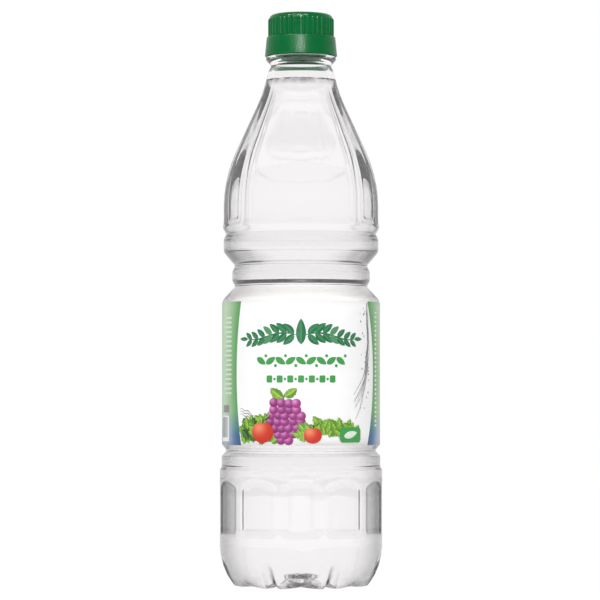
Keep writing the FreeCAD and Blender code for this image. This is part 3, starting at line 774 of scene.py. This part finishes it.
class Print:
    """Flat coloured shapes on the label, gathered into one mesh.

    Places are (along, up): the length round the label from its front, and the
    height over its foot. Each shape stands off the film by lift, which is raised
    before a shape that lies over others.
    """

    def __init__(self, lift=0.03):
        self.points, self.faces, self.colours = [], [], []
        self.lift = lift

    def sheet(self, along, up, colour):
        """Grid of points; colour is one colour or a grid of them."""
        rows, columns = along.shape
        first = len(self.points)
        turn = along.ravel() / LABEL_RADIUS
        radius = FILM_FACE + self.lift
        height = up.ravel() + LABEL_FOOT
        self.points += list(zip(radius * np.sin(turn), -radius * np.cos(turn), height))
        self.colours += list(np.broadcast_to(colour, (rows, columns, 3)).reshape(-1, 3))
        for row in range(rows - 1):
            for column in range(columns - 1):
                corner = first + row * columns + column
                face = (corner, corner + 1, corner + columns + 1, corner + columns)
                self.faces.append(face)

    def bar(self, along, up, width, height, colour):
        """Rectangle about its centre."""
        columns = int(width / 1.2) + 2
        across = np.linspace(-0.5, 0.5, columns) * width
        high = np.array([-0.5, 0.5]) * height
        self.sheet(*np.meshgrid(along + across, up + high), colour)

    def plate(self, along, up, width, height, corner, colour):
        """Rectangle with rounded corners."""
        across = np.linspace(-0.5, 0.5, 25) * width
        past = np.maximum(np.abs(across) - (width / 2 - corner), 0)
        half = height / 2 - corner + np.sqrt(corner ** 2 - past ** 2)
        high = np.outer([-1.0, -0.33, 0.33, 1.0], half)
        self.sheet(*np.broadcast_arrays(along + across, up + high), colour)

    def disc(self, along, up, width, height, dark, light, dent=0.0):
        """Round shape, lighter towards the upper left; dent draws its top in like an apple's."""
        share = np.linspace(0.02, 1.0, 6)[:, None]
        turn = np.radians(np.linspace(0, 360, 25))[None, :]
        at_top = np.exp(-((np.sin(turn / 2 - np.pi / 4)) / 0.28) ** 2)
        reach = share * (1 - dent * at_top)
        across, high = reach * np.cos(turn), reach * np.sin(turn)
        glow = np.exp(-((across + 0.35) ** 2 + (high - 0.4) ** 2) / 0.35)
        self.sheet(along + across * width / 2, up + high * height / 2, blend(dark, light, glow))

    def leaf(self, along, up, length, width, turn, dark, light, bend=0.0, ruffle=0.0):
        """Leaf from its stem end, pale along its middle.

        It points along turn and curves by bend, in degrees; ruffle waves its edges.
        """
        share = np.linspace(0.0, 1.0, 10)[:, None]
        side = np.linspace(-1.0, 1.0, 7)[None, :]
        half = width / 2 * np.sin(np.pi * share ** 0.85) ** 0.75
        half = half * (1 + ruffle * np.sin(share * 24 + side * 2))
        angle = np.radians(turn + bend * share)
        steps = np.diff(share, axis=0) * length
        middle = (angle[1:] + angle[:-1]) / 2
        run = np.vstack([[[0.0]], np.cumsum(steps * np.cos(middle), axis=0)])
        rise = np.vstack([[[0.0]], np.cumsum(steps * np.sin(middle), axis=0)])
        rib = np.clip(1 - np.abs(side) / 0.3, 0, 1) * 0.8
        veins = 0.15 * np.sin(share * 20) * (side != 0)
        pale = np.clip(rib + 0.35 * (side > 0) + veins, 0, 1)
        aside = half * side
        across, high = run - aside * np.sin(angle), rise + aside * np.cos(angle)
        self.sheet(along + across, up + high, blend(dark, light, pale))

    def stroke(self, path, width, colour):
        """Line of varying width through points: thin at its ends."""
        path = np.asarray(path, float)
        run = np.gradient(path, axis=0)
        run /= np.linalg.norm(run, axis=1)[:, None]
        share = np.linspace(0, 1, len(path))
        half = width / 2 * (0.25 + 0.75 * np.sin(np.pi * share))[:, None]
        aside = np.stack([-run[:, 1], run[:, 0]], axis=1) * half
        both = np.stack([path + aside, path - aside])
        self.sheet(both[..., 0], both[..., 1], colour)

    def mesh(self, name):
        """The shapes as one mesh with their colours."""
        mesh = make_mesh(name, self.points, self.faces, False)
        colours = mesh.color_attributes.new("ink", "FLOAT_COLOR", "POINT")
        values = np.column_stack([np.array(self.colours), np.ones(len(self.colours))])
        colours.data.foreach_set("color", values.astype(np.float32).ravel())
        return mesh


def ink(red, green, blue):
    """Colour of a print, as three linear values."""
    return srgb(red, green, blue)[:3]


DEEP_GREEN = ink(0, 112, 64)
MID_GREEN = ink(84, 150, 104)
BRIGHT_GREEN = ink(64, 160, 76)
PALE_GREEN = ink(220, 236, 216)
LEAF_DARK, LEAF_LIGHT = ink(88, 144, 36), ink(188, 226, 92)
HERB_DARK, HERB_LIGHT = ink(30, 74, 26), ink(96, 150, 60)
GRAPE_DARK, GRAPE_LIGHT = ink(150, 40, 120), ink(226, 140, 206)
APPLE_DARK, APPLE_LIGHT = ink(206, 44, 24), ink(246, 140, 100)


SPRIG_LINE = 52.6
LEAF_ROW = 40.8
SQUARE_ROW = 32.0


def stem_height(along):
    """Height of the sprig's wavy stem."""
    return SPRIG_LINE + 1.6 * math.sin(along / 5.2)


def sprig_mesh():
    """Broad sprig of leaves where a headline would be, with two lighter rows under it."""
    art = Print()
    for side in (-1, 1):
        stem = [(side * along, stem_height(along)) for along in np.linspace(1.5, 28.0, 24)]
        art.stroke(stem, 0.9, DEEP_GREEN)
        for step in range(7):
            along = 3.4 + step * 3.7
            size = 7.4 - 0.42 * step
            tone = MID_GREEN if step == 3 else DEEP_GREEN
            for up in (-1, 1):
                turn = 90 - side * (90 - up * 52)
                bend = -side * up * 18
                art.lift += 0.004
                art.leaf(side * along, stem_height(along), size, size * 0.46, turn, tone, MID_GREEN, bend)
        art.leaf(side * 28.0, 51.4, 5.2, 1.9, 90 - side * 90, DEEP_GREEN, MID_GREEN)
    art.leaf(0.0, 48.6, 12.6, 4.8, 90, DEEP_GREEN, MID_GREEN)
    for step in range(-4, 5):
        tilt = 34 if step % 2 else -34
        art.leaf(step * 5.0 - 2.4, LEAF_ROW - 0.045 * tilt, 5.8, 3.0, tilt, BRIGHT_GREEN, BRIGHT_GREEN)
        art.disc(step * 5.0 + 2.5, LEAF_ROW - 0.07 * tilt, 1.5, 1.5, BRIGHT_GREEN, BRIGHT_GREEN)
    for step in range(-6, 7):
        width, height = (1.2, 1.2) if step % 2 else (2.9, 3.4)
        art.plate(step * 2.6, SQUARE_ROW, width, height, 0.5, BRIGHT_GREEN)
    return art.mesh("leaf_sprig")


def add_left_greens(art, draw):
    """Heap of ruffled leaves behind the fruit's left side."""
    for step in range(60):
        along = draw.uniform(-31.0, -13.0)
        high = 7.0 * math.sin(math.pi * np.clip((along + 33.0) / 24.0, 0, 1))
        up = draw.uniform(0.3, 4.0 + high)
        turn = draw.uniform(25, 155)
        tones = (LEAF_DARK, LEAF_LIGHT) if step % 3 else (HERB_DARK, HERB_LIGHT)
        art.lift += 0.003
        art.leaf(along, up, draw.uniform(5.5, 8.5), draw.uniform(3.0, 4.6), turn, *tones, 25, 0.2)


def add_grapes(art, draw):
    """Bunch of grapes under two leaves."""
    middle, size, spacing, rise = -7.5, 4.5, 3.7, 3.0
    art.stroke([(-9.0, 21.0), (-8.4, 23.4), (-7.2, 25.2), (-6.2, 26.4)], 1.0, HERB_LIGHT)
    art.leaf(-8.6, 22.6, 8.2, 5.0, 152, LEAF_DARK, LEAF_LIGHT, -20, 0.1)
    art.leaf(-7.8, 23.6, 7.0, 4.4, 24, LEAF_DARK, LEAF_LIGHT, 20, 0.1)
    for row, count in enumerate((2, 3, 4, 5, 5, 4, 4)):
        for place in range(count):
            along = middle + (place - (count - 1) / 2) * spacing + draw.uniform(-0.35, 0.35)
            up = 2.4 + row * rise + draw.uniform(-0.3, 0.3)
            shade = draw.uniform(0.75, 1.1)
            art.lift += 0.004
            art.disc(along, up, size, size, np.array(GRAPE_DARK) * shade, np.array(GRAPE_LIGHT) * shade)


def add_right_greens(art, draw):
    """Low heap of leaves behind the fruit's right side."""
    for _ in range(60):
        along, up = draw.uniform(1.0, 27.0), draw.uniform(0.0, 9.5)
        high = 8.5 * math.sin(math.pi * np.clip((along - 1.0) / 28.0, 0, 1))
        turn = draw.uniform(25, 155)
        size = draw.uniform(5.0, 8.0)
        art.lift += 0.004
        art.leaf(along, up * 0.5 + high * 0.45, size, size * 0.5, turn, LEAF_DARK, LEAF_LIGHT, 30, 0.2)


def add_apple(art, along, up, size):
    """Apple with its stalk and a small leaf."""
    art.lift += 0.006
    art.disc(along, up, size, size * 0.94, APPLE_DARK, APPLE_LIGHT, 0.22)
    stalk = [(0.1, 0.33), (0.4, 0.48), (1.2, 0.6)]
    art.stroke([(along + aside, up + size * share) for aside, share in stalk], 0.7, HERB_DARK)
    art.leaf(along + 0.6, up + size * 0.5, size * 0.4, size * 0.17, 35, HERB_DARK, LEAF_LIGHT)


def fruit_mesh():
    """Grapes, apples and leaves along the foot of the white field, and a leaf on a plaque."""
    draw = np.random.default_rng(11)
    art = Print()
    add_left_greens(art, draw)
    add_grapes(art, draw)
    add_right_greens(art, draw)
    add_apple(art, -19.2, 6.6, 11.6)
    add_apple(art, 5.6, 5.0, 8.8)
    art.lift += 0.01
    art.plate(25.5, 5.0, 12.5, 7.4, 1.6, BRIGHT_GREEN)
    art.lift += 0.006
    art.leaf(21.4, 4.2, 8.2, 3.4, 14, PALE_GREEN, ink(240, 248, 238))
    return art.mesh("fruit_print")


def strands_mesh():
    """Loose grey strands and drops beside the right edge of the white field."""
    draw = np.random.default_rng(5)
    art = Print()
    share = np.linspace(0.0, 1.0, 40)
    for step in range(9):
        start = draw.uniform(-0.6, 1.2)
        swing = draw.uniform(1.2, 2.6)
        along = (
            36.4 + start + swing * np.sin(share * 2.6 + 0.2)
            + 0.4 * np.sin(share * 17 + step) - 9.0 * share ** 4
        )
        up = 69.0 - share * draw.uniform(44.0, 58.0)
        tone = draw.uniform(110, 190)
        art.lift += 0.003
        art.stroke(np.stack([along, up], axis=1), draw.uniform(0.25, 0.6), ink(tone, tone, tone + 4))
    for _ in range(26):
        along, up = draw.uniform(32.0, 40.0), draw.uniform(18.0, 67.0)
        size = draw.uniform(0.4, 1.0)
        art.disc(along, up, size, size * 1.3, ink(120, 120, 124), ink(235, 235, 238))
    share = np.linspace(0.0, 1.0, 20)
    for step in range(3):
        up = 17.5 - step * 1.3 - 4.0 * share ** 2 + 0.4 * np.sin(share * 14)
        art.stroke(np.stack([-33.5 + 10 * share, up], axis=1), 0.4, ink(130, 130, 134))
    return art.mesh("strand_print")


def add_stripes(art, draw):
    """White plate with uneven stripes."""
    art.plate(-49.0, 8.0, 11.5, 12.5, 0.4, ink(250, 250, 250))
    art.lift += 0.02
    place = -53.6
    while place < -44.6:
        width = draw.choice([0.25, 0.4, 0.6])
        art.bar(place, 8.6, width, 10.0, ink(70, 70, 72))
        place += width + draw.choice([0.3, 0.45, 0.6])
    art.lift -= 0.02


def add_back_bars(art, middle):
    """Plain bars on a back panel, in groups of five whose last one is short."""
    full, short, pitch = 30.0, 17.0, 2.5
    for row in range(20):
        if row % 6 == 5:
            continue
        width = full if row % 6 < 4 else short
        art.bar(middle - (full - width) / 2, 60.0 - row * pitch, width, 0.8, MID_GREEN)


def side_mesh():
    """Rows of plain bars on the green sides, stripes, and two plain panels at the back."""
    draw = np.random.default_rng(3)
    art = Print()
    for row in range(17):
        width = draw.uniform(6.0, 10.0)
        art.bar(-41.0 - width / 2, 62.0 - row * 2.3, width, 0.9, PALE_GREEN)
    art.bar(-47.6, 17.6, 8.5, 3.6, ink(140, 138, 136))
    add_stripes(art, draw)
    for row in range(26):
        art.bar(46.9, 64.5 - row * 2.2, 2.6, draw.uniform(0.9, 1.5), PALE_GREEN)
    back = math.pi * LABEL_RADIUS
    panels = back - 26.0, back + 26.0
    for middle in panels:
        art.plate(middle, 36.0, 36.0, 58.0, 2.4, ink(246, 248, 245))
    art.lift += 0.02
    for middle in panels:
        add_back_bars(art, middle)
    return art.mesh("side_print")


# ---------------------------------------------------------------- floor, light and camera

FLOOR_RADIUS = 1500.0
FLOOR_HEIGHT = -0.05
FLOOR_SIDES = 64
FLOOR_GLOW = 1.06       # strength at which the floor is seen
FLOOR_SEEN = 0.88       # share of that glow in what is seen; the rest is lit


def add_floor():
    """White floor, which keeps a soft shadow of the bottle."""
    points = [(0.0, 0.0, FLOOR_HEIGHT)]
    for turn in np.radians(bearings(FLOOR_SIDES)):
        points.append((FLOOR_RADIUS * math.sin(turn), -FLOOR_RADIUS * math.cos(turn), FLOOR_HEIGHT))
    faces = [(0, index + 1, (index + 1) % FLOOR_SIDES + 1) for index in range(FLOOR_SIDES)]
    floor = bpy.data.objects.new("floor", make_mesh("floor", points, faces, False))
    bpy.context.scene.collection.objects.link(floor)
    material, tree, shader = new_material(
        "floor", Roughness=0.9, Specular_IOR_Level=0.0, Base_Color=grey(0.95)
    )
    glow = add_node(tree, "Emission", {"Color": grey(1.0), "Strength": FLOOR_GLOW}).outputs[0]
    seen = rays(tree, "Is Camera Ray", "Is Glossy Ray", "Is Transmission Ray")
    share = math_node(tree, "MULTIPLY", seen, FLOOR_SEEN)
    both = add_node(tree, "MixShader", {0: share, 1: shader.outputs[0], 2: glow}).outputs[0]
    tree.links.new(both, tree.nodes["Material Output"].inputs["Surface"])
    floor.data.materials.append(material)
    return floor


def set_world():
    """White all round to the eye; reflections show it dark in front and bright behind.

    Light that has been through something clear finds it nearly white on every side.
    As a light on dull surfaces it is softer, and dims overhead.
    """
    world = bpy.data.worlds.new("studio")
    bpy.context.scene.world = world
    world.use_nodes = True
    tree = world.node_tree
    way = add_node(tree, "SeparateXYZ", {0: add_node(tree, "TexCoord").outputs["Generated"]}).outputs
    up = math_node(tree, "MULTIPLY_ADD", way["Z"], 0.5, 0.5)
    back = math_node(tree, "MULTIPLY_ADD", way["Y"], 0.5, 0.5)
    light = ramp(tree, up, [(0.0, grey(0.6)), (0.75, grey(0.6)), (1.0, grey(0.45))])
    front_to_back = [(0.0, grey(0.1)), (0.35, grey(0.14)), (0.62, grey(0.75)), (1.0, grey(0.95))]
    overhead = ramp(tree, up, [(0.0, grey(1.0)), (0.8, grey(1.0)), (0.95, grey(0.35))])
    mirrored = mix(tree, 1.0, ramp(tree, back, front_to_back), overhead, "MULTIPLY")
    plain = mix(tree, rays(tree, "Is Glossy Ray"), light, mirrored)
    depth = add_node(tree, "LightPath").outputs["Transmission Depth"]
    within = math_node(tree, "MULTIPLY", math_node(tree, "MINIMUM", depth, 1.0), 0.95)
    white = math_node(tree, "MAXIMUM", rays(tree, "Is Camera Ray", "Is Transmission Ray"), within)
    tree.links.new(mix(tree, white, plain, grey(1.0)), tree.nodes["Background"].inputs["Color"])


LAMP_AIM = Vector((0.0, 0.0, 0.2))
CAMERA_PLACE = (-0.0005, -1.5707, 0.0915)
CAMERA_PITCH = 91.798   # 90 is level
CAMERA_LENS = 191.1
CAMERA_SENSOR = 36.0


def add_lamp(name, place, size, power, lit, for_gloss=False):
    """Soft oblong lamp for the named pieces; one for gloss adds highlights and no other light."""
    data = bpy.data.lights.new(name, "AREA")
    data.shape = "RECTANGLE"
    data.size, data.size_y = size
    data.energy = power
    lamp = bpy.data.objects.new(name, data)
    bpy.context.scene.collection.objects.link(lamp)
    lamp.location = place
    lamp.rotation_euler = (LAMP_AIM - Vector(place)).to_track_quat("-Z", "Y").to_euler()
    lamp.light_linking.receiver_collection = bpy.data.collections.new(name + "_lights")
    for piece in lit:
        lamp.light_linking.receiver_collection.objects.link(piece)
    lamp.visible_diffuse = not for_gloss


def add_camera():
    """Camera a little above the label's foot, looking slightly up."""
    data = bpy.data.cameras.new("camera")
    data.lens = CAMERA_LENS
    data.sensor_width = CAMERA_SENSOR
    camera = bpy.data.objects.new("camera", data)
    bpy.context.scene.collection.objects.link(camera)
    camera.location = CAMERA_PLACE
    camera.rotation_euler = (math.radians(CAMERA_PITCH), 0, 0)
    bpy.context.scene.camera = camera


# ---------------------------------------------------------------- the scene

plastic = clear_material("clear_pet", 1.57, PLASTIC_PAINTED_SHADE, PANEL_PAINTED_SHADE, SHOULDER_PAINTED_SHADE, 0.00003)
liquid = clear_material("vinegar", 1.34, VINEGAR_PAINTED_SHADE, LINE_PAINTED_SHADE, VINEGAR_PAINTED_SHADE, 0.0)
add_piece("bottle_shell", shell_mesh(), plastic, node="bottle")
add_piece("vinegar_fill", vinegar_mesh(), liquid, node="vinegar")
cap = add_piece("screw_cap", cap_mesh(), cap_material(), node="cap")
label = add_piece("label_wrap", label_mesh(), label_material(), node="label")
dull_pieces = [cap, label, add_floor()]
inks = ink_material()
for mesh in (sprig_mesh(), fruit_mesh(), strands_mesh(), side_mesh()):
    dull_pieces.append(add_piece(mesh.name, mesh, inks))
set_world()
lamps = (
    ("key", (-0.55, -1.45, 1.1), 5.5),
    ("front", (-0.02, -1.7, 0.82), 8.5),
    ("top", (-0.12, -1.1, 1.75), 4.0),
)
for name, place, power in lamps:
    add_lamp(name, place, (0.3, 0.3), power, dull_pieces)
add_lamp("cap_spot", (-0.03, -1.7, 0.82), (0.1, 0.1), 14.0, [cap], for_gloss=True)
add_lamp("cap_edge", (-0.25, -0.9, 1.5), (1.8, 0.12), 30.0, [cap], for_gloss=True)
add_camera()
bpy.context.scene.view_settings.view_transform = "Standard"
